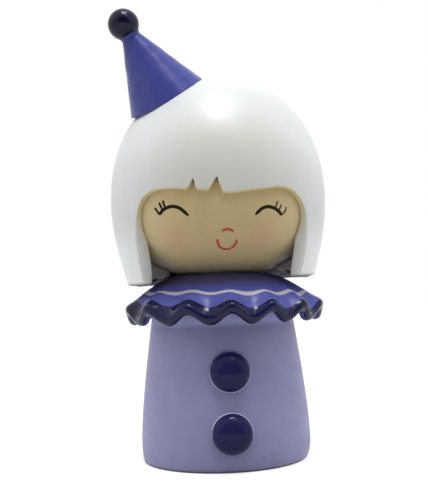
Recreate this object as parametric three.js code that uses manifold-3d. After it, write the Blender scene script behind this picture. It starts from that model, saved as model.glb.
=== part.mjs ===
// A painted resin doll in a clown costume: a round solid body, a ruffled collar, a squashed ball head
// under a bobbed hair cap, a small cone hat with a bead, two domed buttons, and a folded message card
// that slides into a slot in the base.
// Millimetres. +Z is up, the face looks along -Y, and the origin is the middle of the base.

import * as THREE from "three";
import { mergeVertices } from "three/addons/utils/BufferGeometryUtils.js";
import Module from "manifold-3d";

const wasm = await Module();
wasm.setup();

// Fits: the glue line between castings, and the slack round the card in its slot
const GLUE_GAP = 0.3;
const CARD_GAP = 0.3;

// Body: a round bell, widest just above its rounded foot
const BELLY_RADIUS = 17.3;
const FOOT_ROUND_WIDTH = 1.2;
const FOOT_ROUND_HEIGHT = 4;
const SHOULDER_RADIUS = 14.4;
const SHOULDER_DROP = 6.4;
const BELL_LOW_PULL = 0.23;
const BELL_HIGH_PULL = 0.63;
const NECK_RADIUS = 8.6;
const NECK_TOP = 36.8;

// Collar: a domed washer that lies on the shoulders, with its ruffles growing towards the hem.
// It reaches a little further out towards +X, where its front ruffles are narrower
const COLLAR_LIP = 0.9;
const COLLAR_RADIUS = 19.7;
const COLLAR_FALL = 7.15;
const COLLAR_CROWN = 1.9;
const COLLAR_THICKNESS = 2;
const HEM_THICKNESS = 2.6;
const RUFFLE_COUNT = 15;
const RUFFLE_HEIGHT = 1.08;
const RUFFLE_FLATNESS = 0.06;
const RUFFLE_LEAN = 22;
const RUFFLE_START = 0.3;
const RUFFLE_GROWTH = 2;
const RUFFLE_DRIFT = 7.5;
const RUFFLE_TURN = 1.6;
const COLLAR_SWAY = 0.6;

// Head: a squashed ball, flattest under the chin, where it stands on the neck
const HEAD_RADIUS = 21.2;
const HEAD_ABOVE = 23.2;
const HEAD_BELOW = 15.2;
const HEAD_SEAT_RADIUS = 5.3;
const CROWN_SQUARENESS = 2.15;
const CHIN_SQUARENESS = 2.4;

// Hair: a thick bobbed cap, with the face opening cut straight in towards the middle of the head
const HAIR_BROW_THICKNESS = 0.9;
const HAIR_CROWN_THICKNESS = 3;
const HAIR_HEM_THICKNESS = 2.7;
const HAIR_RISE = 0.9;
const HAIR_HEM_INSET = 3.3;
const HAIR_COLLAR_GAP = 1.17;
const HAIR_WALL_PULL = 0.6;
const HAIR_EDGE_ROUND = 0.6;
const OPENING_TURN = -3;
const OPENING_HALF_ANGLE = 50.5;
const OPENING_CORNER_ANGLE = 19;
const OPENING_CORNER_HEIGHT = 9.3;
const FRINGE_RISE = 0.25;
const FRINGE_SAG = 1.1;
const SLIT_RISE = 2.9;
const SLIT_TIPS = [-1, -12.6];
const SLIT_RIGHT_ANGLE = 1.8;
const SLIT_LEFT_ANGLE = 3.6;

// Hat and bead: the hat leans to the doll's right hand and forward, about a point inside the head
const HAT_LEAN_SIDE = 29.7;
const HAT_LEAN_FRONT = 15;
const HAT_PIVOT_RISE = 4;
const HAT_RADIUS = 8.45;
const HAT_TOP_RADIUS = 2;
const HAT_HEIGHT = 14.3;
const BEAD_RADIUS = 3.15;
const BEAD_CUP_LAND = 0.25;

// Buttons: domes let into the front of the body on round stems
const BUTTON_HEIGHTS = { button_upper: 18.7, button_lower: 7.3 };
const BUTTON_RADIUS = 3.8;
const BUTTON_DOME = 2.5;
const BUTTON_RIM = 0.3;
const BUTTON_RECESS = 0.9;
const BUTTON_STEM_RADIUS = 1.2;
const BUTTON_STEM_LENGTH = 3.2;

// Pegs and pins that hold the castings in line
const NECK_PEG_SIDE = 4;
const NECK_PEG_IN_BODY = 8;
const NECK_PEG_IN_HEAD = 9;
const HAT_PIN_RADIUS = 0.8;
const HAT_PIN_IN_HAT = 4.5;
const HAT_PIN_IN_HEAD = 4;
const BEAD_PIN_RADIUS = 0.5;
const BEAD_PIN_IN_HAT = 4;
const BEAD_PIN_IN_BEAD = 3;

// Message card: a strip of paper folded like an accordion, in a slot with a thumb hollow at its mouth
const CARD_WIDTH = 17.4;
const CARD_HEIGHT = 22;
const CARD_LEAVES = 6;
const PAPER_THICKNESS = 0.4;
const LEAF_GAP = 0.36;
const CARD_RECESS = 0.8;
const THUMB_RADIUS = 5;
const THUMB_CENTRE_DROP = 1.5;

// Facets
const ROUND_SIDES = 48;
const SMALL_SIDES = 24;
const PIN_SIDES = 12;
const RUFFLE_STEPS = 8;
const CURVE_STEPS = 5;
const CUT_PAST = 2;
const WEDGE_SPREAD = 3;
const MERGE_DISTANCE = 1e-4;

const degrees = THREE.MathUtils.degToRad;
const point = (r, z) => new THREE.Vector2(r, z);
const UP = new THREE.Vector3(0, 0, 1);

// Levels and sizes that follow from the driving dimensions
const headSeat = NECK_TOP + GLUE_GAP;
const headMiddle = headSeat + HEAD_BELOW * squashed(HEAD_SEAT_RADIUS / HEAD_RADIUS, CHIN_SQUARENESS);
const hairMiddle = headMiddle + HAIR_RISE;
const hairRadius = HEAD_RADIUS + GLUE_GAP + HAIR_BROW_THICKNESS;
const hairTop = headMiddle + HEAD_ABOVE + GLUE_GAP + HAIR_CROWN_THICKNESS;
const hairHemRadius = hairRadius - HAIR_HEM_INSET;
const hairInnerHemRadius = hairHemRadius - HAIR_HEM_THICKNESS;
const shoulderLevel = NECK_TOP - SHOULDER_DROP;
const collarHoleRadius = NECK_RADIUS + GLUE_GAP;
const ridgeRadius = collarHoleRadius + COLLAR_LIP;
const chinAtRidge = HEAD_BELOW * squashed(ridgeRadius / HEAD_RADIUS, CHIN_SQUARENESS);
const ridgeLevel = headMiddle - chinAtRidge - GLUE_GAP;
const beadCupRadius = HAT_TOP_RADIUS - BEAD_CUP_LAND;
const beadLevel = HAT_HEIGHT + Math.sqrt((BEAD_RADIUS + GLUE_GAP) ** 2 - beadCupRadius ** 2);
const cardThickness = CARD_LEAVES * PAPER_THICKNESS + (CARD_LEAVES - 1) * LEAF_GAP;

// Height of a superellipse of unit radius and height, at a share of its radius
function squashed(share, squareness) {
  return Math.max(0, 1 - share ** squareness) ** (1 / squareness);
}

// Points of a quarter superellipse, from one share of a right angle to another
function quarter(radius, height, squareness, from, to, steps) {
  return Array.from({ length: steps + 1 }, (_, i) => {
    const angle = (Math.PI / 2) * (from + ((to - from) * i) / steps);
    const r = radius * Math.max(0, Math.cos(angle)) ** (2 / squareness);
    return point(r, height * Math.sin(angle) ** (2 / squareness));
  });
}

const lifted = (points, z) => points.map((p) => point(p.x, p.y + z));
const flipped = (points) => points.map((p) => point(p.x, -p.y)).reverse();

// A solid of revolution about Z from an outline that runs upwards on its outer side
function revolved(outline, sides) {
  return new THREE.LatheGeometry(outline, sides).rotateX(Math.PI / 2);
}

function rod(radius, from, to, sides) {
  const length = to - from;
  const geometry = new THREE.CylinderGeometry(radius, radius, length, sides);
  return geometry.rotateX(Math.PI / 2).translate(0, 0, from + length / 2);
}

function block(x, y, from, to) {
  return new THREE.BoxGeometry(x, y, to - from).translate(0, 0, (from + to) / 2);
}

function solidOf(geometry) {
  const bare = new THREE.BufferGeometry();
  bare.setAttribute("position", geometry.getAttribute("position"));
  bare.setIndex(geometry.getIndex());
  const merged = mergeVertices(bare, MERGE_DISTANCE);
  const index = merged.getIndex().array;
  const corners = [];
  for (let i = 0; i < index.length; i += 3) {
    const [a, b, c] = index.slice(i, i + 3);
    if (a !== b && b !== c && c !== a) corners.push(a, b, c);
  }
  return new wasm.Manifold(
    new wasm.Mesh({
      numProp: 3,
      vertProperties: Float32Array.from(merged.getAttribute("position").array),
      triVerts: Uint32Array.from(corners),
    }),
  );
}

function geometryOf(solid) {
  const { vertProperties, triVerts } = solid.getMesh();
  const geometry = new THREE.BufferGeometry();
  geometry.setAttribute("position", new THREE.BufferAttribute(vertProperties, 3));
  geometry.setIndex(new THREE.BufferAttribute(triVerts, 1));
  geometry.computeVertexNormals();
  return geometry;
}

function carved(geometry, ...tools) {
  return tools.reduce((solid, tool) => solid.subtract(solidOf(tool)), solidOf(geometry));
}

const paint = (color, roughness) => new THREE.MeshStandardMaterial({ color, roughness, metalness: 0 });
const LAVENDER = paint(0xa3a2c6, 0.5);
const BLUE = paint(0x5758a6, 0.4);
const NAVY = paint(0x20203c, 0.2);
const WHITE = paint(0xf0efe9, 0.5);
const SKIN = paint(0xe3cfa4, 0.5);
const WOOD = paint(0xc9a777, 0.7);
const PAPER = paint(0xf4f0e4, 0.8);
const STEEL = new THREE.MeshStandardMaterial({ color: 0xb8babd, roughness: 0.35, metalness: 1 });

function piece(name, solid, material) {
  const mesh = new THREE.Mesh(geometryOf(solid), material);
  mesh.name = name;
  return mesh;
}

// Collar section: its top curve, and the direction in which it is thick
const collarTop = new THREE.QuadraticBezierCurve(
  point(ridgeRadius, ridgeLevel),
  point(
    (ridgeRadius + COLLAR_RADIUS) / 2 + COLLAR_CROWN / 2,
    ridgeLevel - COLLAR_FALL / 2 + COLLAR_CROWN,
  ),
  point(COLLAR_RADIUS, ridgeLevel - COLLAR_FALL),
);

function collarUpward(t) {
  const along = collarTop.getTangent(t);
  return point(-along.y, along.x);
}

function collarAt(t, depth) {
  return collarTop.getPoint(t).addScaledVector(collarUpward(t), -depth);
}

// The section as a loop of points, each with its place along the top curve
function collarSection() {
  const loop = [{ at: point(collarHoleRadius, collarAt(0, COLLAR_THICKNESS).y), t: 0 }];
  for (let i = 1; i < CURVE_STEPS; i++) {
    const t = i / CURVE_STEPS;
    loop.push({ at: collarAt(t, COLLAR_THICKNESS), t });
  }
  const bead = collarAt(1, COLLAR_THICKNESS / 2);
  const down = collarUpward(1).negate().angle();
  for (let i = 0; i <= CURVE_STEPS; i++) {
    const angle = down + (Math.PI * i) / CURVE_STEPS;
    const arm = point(Math.cos(angle), Math.sin(angle)).multiplyScalar(HEM_THICKNESS / 2);
    loop.push({ at: arm.add(bead), t: 1 });
  }
  for (let i = CURVE_STEPS - 1; i >= 0; i--) {
    const t = i / CURVE_STEPS;
    loop.push({ at: collarAt(t, 0), t });
  }
  loop.push({ at: point(collarHoleRadius, collarAt(0, COLLAR_THICKNESS / 2).y), t: 0 });
  return loop;
}

// Ruffles: they rise and lean outwards, with crests a little narrower than the troughs
const ruffleWay = point(Math.sin(degrees(RUFFLE_LEAN)), Math.cos(degrees(RUFFLE_LEAN)));

function ruffleReach(t) {
  const share = Math.max(0, (t - RUFFLE_START) / (1 - RUFFLE_START));
  return RUFFLE_HEIGHT * share ** RUFFLE_GROWTH;
}

function ruffleWave(turn) {
  const phase = RUFFLE_COUNT * (turn + degrees(RUFFLE_DRIFT * Math.sin(turn) ** 2 - RUFFLE_TURN));
  return Math.cos(phase) + RUFFLE_FLATNESS * Math.cos(2 * phase);
}

function collarGeometry() {
  const loop = collarSection();
  const turns = RUFFLE_COUNT * RUFFLE_STEPS;
  const places = [];
  const faces = [];
  for (let i = 0; i < turns; i++) {
    const turn = (2 * Math.PI * i) / turns;
    const wave = ruffleWave(turn);
    for (const { at, t } of loop) {
      const place = at.clone().addScaledVector(ruffleWay, ruffleReach(t) * wave);
      const r = place.x + COLLAR_SWAY * t * Math.sin(turn);
      const z = place.y;
      places.push(r * Math.sin(turn), -r * Math.cos(turn), z);
    }
    const here = i * loop.length;
    const next = ((i + 1) % turns) * loop.length;
    for (let j = 0; j < loop.length; j++) {
      const k = (j + 1) % loop.length;
      faces.push(here + j, next + j, next + k, here + j, next + k, here + k);
    }
  }
  const geometry = new THREE.BufferGeometry();
  geometry.setAttribute("position", new THREE.Float32BufferAttribute(places, 3));
  geometry.setIndex(faces);
  return geometry;
}

// Body outline: a flat foot, a rounded edge, the bell wall, and the seat that the collar lies on
function bodyWall() {
  const foot = lifted(
    flipped(quarter(FOOT_ROUND_WIDTH, FOOT_ROUND_HEIGHT, 2, 0, 1, CURVE_STEPS)),
    FOOT_ROUND_HEIGHT,
  ).map((p) => point(p.x + BELLY_RADIUS - FOOT_ROUND_WIDTH, p.y));
  const rise = shoulderLevel - FOOT_ROUND_HEIGHT;
  const wall = new THREE.CubicBezierCurve(
    point(BELLY_RADIUS, FOOT_ROUND_HEIGHT),
    point(BELLY_RADIUS, FOOT_ROUND_HEIGHT + rise * BELL_LOW_PULL),
    point((BELLY_RADIUS + SHOULDER_RADIUS) / 2, FOOT_ROUND_HEIGHT + rise * BELL_HIGH_PULL),
    point(SHOULDER_RADIUS, shoulderLevel),
  );
  return [...foot, ...wall.getPoints(CURVE_STEPS).slice(1)];
}

function bodyOutline() {
  const seatDepth = COLLAR_THICKNESS + GLUE_GAP;
  const seatEdge = collarAt(RUFFLE_START, seatDepth);
  const seatLevel = collarAt(0, seatDepth).y;
  const shoulder = new THREE.QuadraticBezierCurve(
    point(SHOULDER_RADIUS, shoulderLevel),
    point(SHOULDER_RADIUS, (shoulderLevel + seatEdge.y) / 2),
    seatEdge,
  );
  return [
    point(0, 0),
    ...bodyWall(),
    ...shoulder.getPoints(CURVE_STEPS).slice(1),
    point(NECK_RADIUS, seatLevel),
    point(NECK_RADIUS, NECK_TOP),
    point(0, NECK_TOP),
  ];
}

function radiusAt(outline, z) {
  const i = outline.findIndex((p, k) => k > 0 && outline[k - 1].y <= z && p.y > z);
  const [low, high] = [outline[i - 1], outline[i]];
  return THREE.MathUtils.mapLinear(z, low.y, high.y, low.x, high.x);
}

// Each button stands square to the wall, in a group of its own whose +Z is the wall's outward direction
function buttonGroup(height) {
  const wall = bodyWall();
  const slope = radiusAt(wall, height + BUTTON_RADIUS) - radiusAt(wall, height - BUTTON_RADIUS);
  const group = new THREE.Group();
  group.position.set(0, -radiusAt(wall, height), height);
  const outward = new THREE.Vector3(0, -2 * BUTTON_RADIUS, -slope).normalize();
  group.quaternion.setFromUnitVectors(UP, outward);
  group.updateMatrix();
  return group;
}

const buttonGroups = Object.entries(BUTTON_HEIGHTS).map(([name, height]) => {
  return { name, group: buttonGroup(height) };
});

function buttonSolid() {
  const back = GLUE_GAP - BUTTON_RECESS;
  const dome = lifted(
    quarter(BUTTON_RADIUS, BUTTON_DOME - BUTTON_RIM, 2, 0, 1, CURVE_STEPS),
    BUTTON_RIM,
  );
  const outline = [
    point(0, back - BUTTON_STEM_LENGTH),
    point(BUTTON_STEM_RADIUS, back - BUTTON_STEM_LENGTH),
    point(BUTTON_STEM_RADIUS, back),
    point(BUTTON_RADIUS, back),
    ...dome,
  ];
  return solidOf(revolved(outline, SMALL_SIDES));
}

function buttonSeats() {
  const deep = BUTTON_RECESS + BUTTON_STEM_LENGTH + GLUE_GAP;
  return buttonGroups.flatMap(({ group }) => [
    rod(BUTTON_RADIUS + GLUE_GAP, -BUTTON_RECESS, BUTTON_DOME + CUT_PAST, SMALL_SIDES)
      .applyMatrix4(group.matrix),
    rod(BUTTON_STEM_RADIUS + GLUE_GAP, -deep, 0, SMALL_SIDES).applyMatrix4(group.matrix),
  ]);
}

function bodySolid() {
  const slot = block(
    CARD_WIDTH + 2 * CARD_GAP,
    cardThickness + 2 * CARD_GAP,
    -CUT_PAST,
    CARD_RECESS + CARD_HEIGHT + CARD_GAP,
  );
  const thumb = new THREE.SphereGeometry(THUMB_RADIUS, SMALL_SIDES, SMALL_SIDES / 2);
  const pegSide = NECK_PEG_SIDE + 2 * GLUE_GAP;
  const pegSocket = block(pegSide, pegSide, NECK_TOP - NECK_PEG_IN_BODY - GLUE_GAP, NECK_TOP + CUT_PAST);
  return carved(
    revolved(bodyOutline(), ROUND_SIDES),
    slot,
    thumb.translate(0, 0, -THUMB_CENTRE_DROP),
    pegSocket,
    ...buttonSeats(),
  );
}

// Outline of the head, or of the hollow round it, from the chin seat up to the crown
function crown(margin) {
  const arch = quarter(
    HEAD_RADIUS + margin, HEAD_ABOVE + margin, CROWN_SQUARENESS, 0, 1, CURVE_STEPS + 2,
  );
  return lifted(arch, headMiddle);
}

function headOutline() {
  const seatShare = (HEAD_SEAT_RADIUS / HEAD_RADIUS) ** (CHIN_SQUARENESS / 2);
  const seatAngle = Math.acos(seatShare) / (Math.PI / 2);
  const chin = quarter(HEAD_RADIUS, HEAD_BELOW, CHIN_SQUARENESS, 0, seatAngle, CURVE_STEPS);
  return [point(0, headSeat), ...lifted(flipped(chin), headMiddle), ...crown(0).slice(1)];
}

// Hair: its hem hangs clear of the collar's crests, below its inner edge
const crests = Array.from({ length: ROUND_SIDES + 1 }, (_, i) => {
  const t = i / ROUND_SIDES;
  return collarAt(t, 0).addScaledVector(ruffleWay, ruffleReach(t) * (1 + RUFFLE_FLATNESS));
});
const underHem = crests.find((p) => p.x >= hairInnerHemRadius) ?? crests.at(-1);
const hairHem = underHem.y + HAIR_COLLAR_GAP;
const hairDrop = hairMiddle - hairHem;

// Outer cap, and the hollow that fits over the head and opens below the chin
const hairWall = new THREE.QuadraticBezierCurve(
  point(hairHemRadius, hairHem),
  point(hairRadius, hairHem + hairDrop * HAIR_WALL_PULL),
  point(hairRadius, hairMiddle),
);

function hairOutline(margin) {
  const dome = quarter(
    hairRadius + margin, hairTop - hairMiddle + margin, CROWN_SQUARENESS, 0, 1, CURVE_STEPS + 3,
  );
  const wall = hairWall.getPoints(CURVE_STEPS).slice(1).map((p) => point(p.x + margin, p.y));
  return [
    point(0, hairHem),
    point(hairHemRadius + margin - HAIR_EDGE_ROUND, hairHem),
    point(hairHemRadius + margin, hairHem + HAIR_EDGE_ROUND),
    ...wall,
    ...lifted(dome, hairMiddle).slice(1),
  ];
}

// The hollow's wall keeps its glue gap to the head, and the hem's thickness where the head draws away
function hairHollow() {
  const wall = hairWall.getPoints(ROUND_SIDES);
  const levels = CURVE_STEPS * 2;
  const curtain = Array.from({ length: levels }, (_, i) => {
    const z = hairHem + ((headMiddle - hairHem) * i) / levels;
    const head = HEAD_RADIUS * squashed((headMiddle - z) / HEAD_BELOW, CHIN_SQUARENESS);
    return point(Math.max(head + GLUE_GAP, radiusAt(wall, z) - HAIR_HEM_THICKNESS), z);
  });
  return [
    point(0, hairHem - CUT_PAST),
    point(hairInnerHemRadius, hairHem - CUT_PAST),
    ...curtain,
    ...crown(GLUE_GAP),
  ];
}

// Face opening as a closed outline of turn and height: round upper corners, a sagging fringe, two slits
function openingOutline() {
  const edge = hairMiddle + FRINGE_RISE;
  const flat = OPENING_HALF_ANGLE - OPENING_CORNER_ANGLE;
  const fringe = (turn) => edge - FRINGE_SAG * Math.cos(degrees((90 * turn) / flat));
  const corner = quarter(OPENING_CORNER_ANGLE, OPENING_CORNER_HEIGHT, 2, 0, 1, CURVE_STEPS)
    .map((p) => point(p.x + flat, p.y + edge - OPENING_CORNER_HEIGHT));
  const top = Array.from({ length: CURVE_STEPS }, (_, i) => {
    const turn = flat * (1 - (i + 1) / CURVE_STEPS);
    return point(turn, fringe(turn));
  });
  for (const tip of SLIT_TIPS) {
    const [right, left] = [tip + SLIT_RIGHT_ANGLE, tip - SLIT_LEFT_ANGLE];
    const tipLevel = fringe(tip) + SLIT_RISE;
    top.push(point(right, fringe(right)), point(tip, tipLevel), point(left, fringe(left)));
  }
  return [
    point(-OPENING_HALF_ANGLE, hairHem - CUT_PAST),
    point(OPENING_HALF_ANGLE, hairHem - CUT_PAST),
    ...corner,
    ...top,
    ...corner.map((p) => point(-p.x, p.y)).reverse(),
  ].map((p) => point(p.x + OPENING_TURN, p.y));
}

// A wedge whose walls run straight in towards the Z axis, from an outline of turn and height
function wedge(outline, near, far) {
  const at = ({ x: turn, y: z }, r) => [r * Math.sin(degrees(turn)), -r * Math.cos(degrees(turn)), z];
  const places = [...outline.map((p) => at(p, near)), ...outline.map((p) => at(p, far))].flat();
  const count = outline.length;
  const faces = [];
  for (const [a, b, c] of THREE.ShapeUtils.triangulateShape(outline, [])) {
    faces.push(a, c, b, a + count, b + count, c + count);
  }
  for (let i = 0; i < count; i++) {
    const next = (i + 1) % count;
    faces.push(i + count, i, next, i + count, next, next + count);
  }
  const geometry = new THREE.BufferGeometry();
  geometry.setAttribute("position", new THREE.Float32BufferAttribute(places, 3));
  geometry.setIndex(faces);
  return geometry;
}

// The hat's own frame: its axis leaves the pivot inside the head, and its rim meets the hair
const hatAxis = new THREE.Vector3(
  -Math.tan(degrees(HAT_LEAN_SIDE)), -Math.tan(degrees(HAT_LEAN_FRONT)), 1,
).normalize();
const hatPivot = new THREE.Vector3(0, 0, headMiddle + HAT_PIVOT_RISE);
const hatSink = HAT_RADIUS ** 2 / (2 * hairRadius);

function wayOut(outline) {
  let [inside, outside] = [0, hairTop];
  while (outside - inside > MERGE_DISTANCE) {
    const reach = (inside + outside) / 2;
    const spot = hatPivot.clone().addScaledVector(hatAxis, reach);
    const within = spot.z < outline.at(-1).y && Math.hypot(spot.x, spot.y) < radiusAt(outline, spot.z);
    [inside, outside] = within ? [reach, outside] : [inside, reach];
  }
  return inside;
}

const hatSeat = wayOut(hairOutline(0)) - hatSink;
const headBelowHat = hatSeat - wayOut(headOutline());
const hatGroup = new THREE.Group();
hatGroup.position.copy(hatPivot).addScaledVector(hatAxis, hatSeat);
hatGroup.quaternion.setFromUnitVectors(UP, hatAxis);
hatGroup.updateMatrix();

const hatPin = (margin) => rod(
  HAT_PIN_RADIUS + margin,
  -headBelowHat - HAT_PIN_IN_HEAD - margin,
  hatSink + HAT_PIN_IN_HAT + margin,
  PIN_SIDES,
);

const beadPin = (margin) => rod(
  BEAD_PIN_RADIUS + margin,
  HAT_HEIGHT - BEAD_PIN_IN_HAT - margin,
  beadLevel - BEAD_RADIUS + BEAD_PIN_IN_BEAD + margin,
  PIN_SIDES,
);

function beadBall(margin) {
  return new THREE.SphereGeometry(BEAD_RADIUS + margin, SMALL_SIDES, SMALL_SIDES / 2)
    .rotateX(Math.PI / 2)
    .translate(0, 0, beadLevel);
}

function hatSolid() {
  const skirt = -hatSink - GLUE_GAP;
  const flare = (HAT_RADIUS - HAT_TOP_RADIUS) / HAT_HEIGHT;
  const cone = revolved([
    point(0, skirt),
    point(HAT_RADIUS - flare * skirt, skirt),
    point(HAT_TOP_RADIUS, HAT_HEIGHT),
    point(0, HAT_HEIGHT),
  ], ROUND_SIDES);
  const hair = revolved(hairOutline(GLUE_GAP), ROUND_SIDES).applyMatrix4(hatGroup.matrix.clone().invert());
  return carved(cone, hair, beadBall(GLUE_GAP), hatPin(GLUE_GAP), beadPin(GLUE_GAP));
}

function headSolid() {
  const pegSide = NECK_PEG_SIDE + 2 * GLUE_GAP;
  const pegSocket = block(pegSide, pegSide, headSeat - CUT_PAST, NECK_TOP + NECK_PEG_IN_HEAD + GLUE_GAP);
  const pinHole = hatPin(GLUE_GAP).applyMatrix4(hatGroup.matrix);
  return carved(revolved(headOutline(), ROUND_SIDES), pegSocket, pinHole);
}

function hairSolid() {
  return carved(
    revolved(hairOutline(0), ROUND_SIDES),
    revolved(hairHollow(), ROUND_SIDES),
    wedge(openingOutline(), HEAD_RADIUS / WEDGE_SPREAD, hairRadius * WEDGE_SPREAD),
    hatPin(GLUE_GAP).applyMatrix4(hatGroup.matrix),
  );
}

// The folded card: a spine runs to and fro across the slot, and the paper lies to both sides of it
function cardSolid() {
  const half = PAPER_THICKNESS / 2;
  const fold = CARD_WIDTH / 2 - half;
  const spine = [];
  for (let i = 0; i < CARD_LEAVES; i++) {
    const y = half - cardThickness / 2 + i * (PAPER_THICKNESS + LEAF_GAP);
    const way = i % 2 ? -1 : 1;
    spine.push(point(-way * fold, y), point(way * fold, y));
  }
  const leftward = spine.slice(1).map((p, i) => point(spine[i].y - p.y, p.x - spine[i].x).normalize());
  const still = point(0, 0);
  const side = (reach) => spine.map((p, i) => {
    const corner = (leftward[i - 1] ?? still).clone().add(leftward[i] ?? still);
    return p.clone().addScaledVector(corner, reach);
  });
  const shape = new THREE.Shape([...side(-half), ...side(half).reverse()]);
  return solidOf(new THREE.ExtrudeGeometry(shape, { depth: CARD_HEIGHT, bevelEnabled: false }));
}

const neckPeg = block(NECK_PEG_SIDE, NECK_PEG_SIDE, NECK_TOP - NECK_PEG_IN_BODY, NECK_TOP + NECK_PEG_IN_HEAD);
const messageCard = piece("message_card", cardSolid(), PAPER);
messageCard.position.z = CARD_RECESS;

for (const { name, group } of buttonGroups) {
  group.add(piece(name, buttonSolid(), NAVY));
}
hatGroup.add(
  piece("hat_cone", hatSolid(), BLUE),
  piece("hat_bead", carved(beadBall(0), beadPin(GLUE_GAP)), NAVY),
  piece("hat_pin", solidOf(hatPin(0)), STEEL),
  piece("bead_pin", solidOf(beadPin(0)), STEEL),
);

const doll = new THREE.Group();
doll.add(
  piece("body_casting", bodySolid(), LAVENDER),
  piece("collar_ruff", solidOf(collarGeometry()), BLUE),
  piece("head_ball", headSolid(), SKIN),
  piece("hair_cap", hairSolid(), WHITE),
  piece("neck_peg", solidOf(neckPeg), WOOD),
  messageCard,
  ...buttonGroups.map(({ group }) => group),
  hatGroup,
);

export default doll;
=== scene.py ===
"""Painted looks of a resin doll in a clown costume.

Shapes are worked out in millimetres and degrees. +Z is up, the face looks along -Y, and a turn is
measured round the Z axis from the face towards +X.
"""

import math

import bmesh
import bpy
import numpy as np
from mathutils import Matrix, Vector


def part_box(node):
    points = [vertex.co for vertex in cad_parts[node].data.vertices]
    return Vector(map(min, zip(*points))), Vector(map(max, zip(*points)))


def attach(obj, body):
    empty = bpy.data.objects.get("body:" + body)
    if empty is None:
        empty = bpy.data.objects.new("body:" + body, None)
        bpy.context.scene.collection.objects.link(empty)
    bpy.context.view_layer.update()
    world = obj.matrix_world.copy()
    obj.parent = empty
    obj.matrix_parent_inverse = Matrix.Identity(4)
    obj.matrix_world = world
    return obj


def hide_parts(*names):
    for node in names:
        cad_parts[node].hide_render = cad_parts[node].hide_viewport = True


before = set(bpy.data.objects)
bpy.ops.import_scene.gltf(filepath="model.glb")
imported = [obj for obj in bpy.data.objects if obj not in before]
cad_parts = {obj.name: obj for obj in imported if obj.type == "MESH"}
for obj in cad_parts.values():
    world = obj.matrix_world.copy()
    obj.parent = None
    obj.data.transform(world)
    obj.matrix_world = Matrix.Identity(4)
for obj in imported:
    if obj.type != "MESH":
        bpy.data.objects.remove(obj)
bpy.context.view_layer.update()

MM = 0.001
SEAM = 0.06
GLUE_GAP = 0.3

# Camera: where it stands round the doll, and how it is aimed
CAMERA_DISTANCE = 172
CAMERA_HEIGHT = 32.35
CAMERA_TURN = -4
CAMERA_SIDE_AIM = 0.38
CAMERA_PITCH = 3.9
CAMERA_ROLL = 2
CAMERA_LENS = 60.5

# Body: a round bell on a rounded foot
FOOT_ROUND_WIDTH = 1.2
FOOT_ROUND_HEIGHT = 4
FOOT_SHARP_WIDTH = 0.5
# Painted shade: a dark band round the edge of the foot, where it stands on the floor
FOOT_SHADE_BAND = (0.2, 0.6)
FOOT_SHADE_STRENGTH = 0.9
FOOT_SHADE_RADII = (14, 16)
SHOULDER_RADIUS = 14.4
SHOULDER_DROP = 6.4
BELL_LOW_PULL = 0.23
BELL_HIGH_PULL = 0.63
NECK_RADIUS = 8.6
PALE_BAND = (26.8, 28.4)
PALE_STRENGTH = 0.9
# Painted shade over the front of the body
BODY_FRONT_SHADE_SHARES = (1, 0.7)
BODY_FRONT_SHADE_STRENGTH = 0.7
SMUDGES = [(20, 2.3), (26, 2.8)]
SMUDGE_RADIUS = 0.5
SMUDGE_SQUEEZE = (1, 1, 0.6)
SMUDGE_STRENGTH = 0.35

# Collar: a domed washer with ruffles, a dark rolled hem and a white painted line
COLLAR_LIP = 0.9
COLLAR_RADIUS = 19.9
COLLAR_FALL = 7.15
COLLAR_CROWN = 1.9
COLLAR_THICKNESS = 2
HEM_THICKNESS = 2.6
HEM_SWELL_START = 0.8
RUFFLE_COUNT = 15
RUFFLE_HEIGHT = 1.08
RUFFLE_LEAN = 22
RUFFLE_FLATNESS = 0.06
RUFFLE_START = 0.3
RUFFLE_GROWTH = 2
RUFFLE_DRIFT = 7.5
RUFFLE_TURN = 1.6
RUFFLE_STEPS = 28
COLLAR_SWAY = 0.6
HEM_PAINT_SHARE = 0.905
HEM_PAINT_DRIFT = 0.08
HEM_PAINT_ANGLE = -40
LINE_SHARE = 0.662
LINE_DRIFT = 0.06
LINE_HALF_SHARE = 0.033
LINE_RELIEF = 0.05
PAINT_WANDER = [(0.6, 7, 1), (0.4, 22, 0)]
HEM_WANDER = 0.012
LINE_WANDER = 0.004
LINE_WIDTH_WANDER = [(0.2, 9, 0)]
NECK_SHADE_RADII = (13.2, 15.8)
NECK_SHADE_STRENGTH = 0.75
COLLAR_GLOSS_RADII = (16, 17.6)
COLLAR_SHINE = 0.2

# Head: a squashed ball
HEAD_ABOVE = 23.2
HEAD_BELOW = 15.2
HEAD_SEAT_RADIUS = 5.3
CROWN_SQUARENESS = 2.15
CHIN_SQUARENESS = 2.15

# Hair: a bobbed cap. The edge of the face opening runs from left to right, given as turns and as
# heights above the middle of the head
HAIR_HEM_THICKNESS = 2.7
HAIR_TIP_THICKNESS = 1.1
HAIR_TIP_ROUND = 5.5
HAIR_HEM_TILT = 0.9
HAIR_FILL_RADIUS = 10.8
HAIR_FILL_RISE = 1.8
HAIR_FILL_TURNS = (64, 78)
HAIR_RISE = 0.9
HAIR_HEM_INSET = 3.3
HAIR_WALL_PULL = 0.6
HAIR_EDGE_ROUND = 0.28
HAIR_LOCK_ROUND = 0.8
HAIR_LOCK_RISES = (-3, -9)
HAIR_EDGE_SQUARENESS = 2.4
LEFT_EDGE = [
    (-53.6, -15.7), (-51.9, -10.7), (-50.8, -6.7), (-48.4, -3.1), (-44.6, -0.5), (-39, 0.8),
    (-33, 1.2), (-26, 1.1), (-18.6, 0.7),
]
SLIT_TIPS = [(-15.6, 3.1), (-4, 3.2)]
SLIT_GAP_EDGE = [(-14.3, 0.6), (-8.4, 0.3)]
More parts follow.
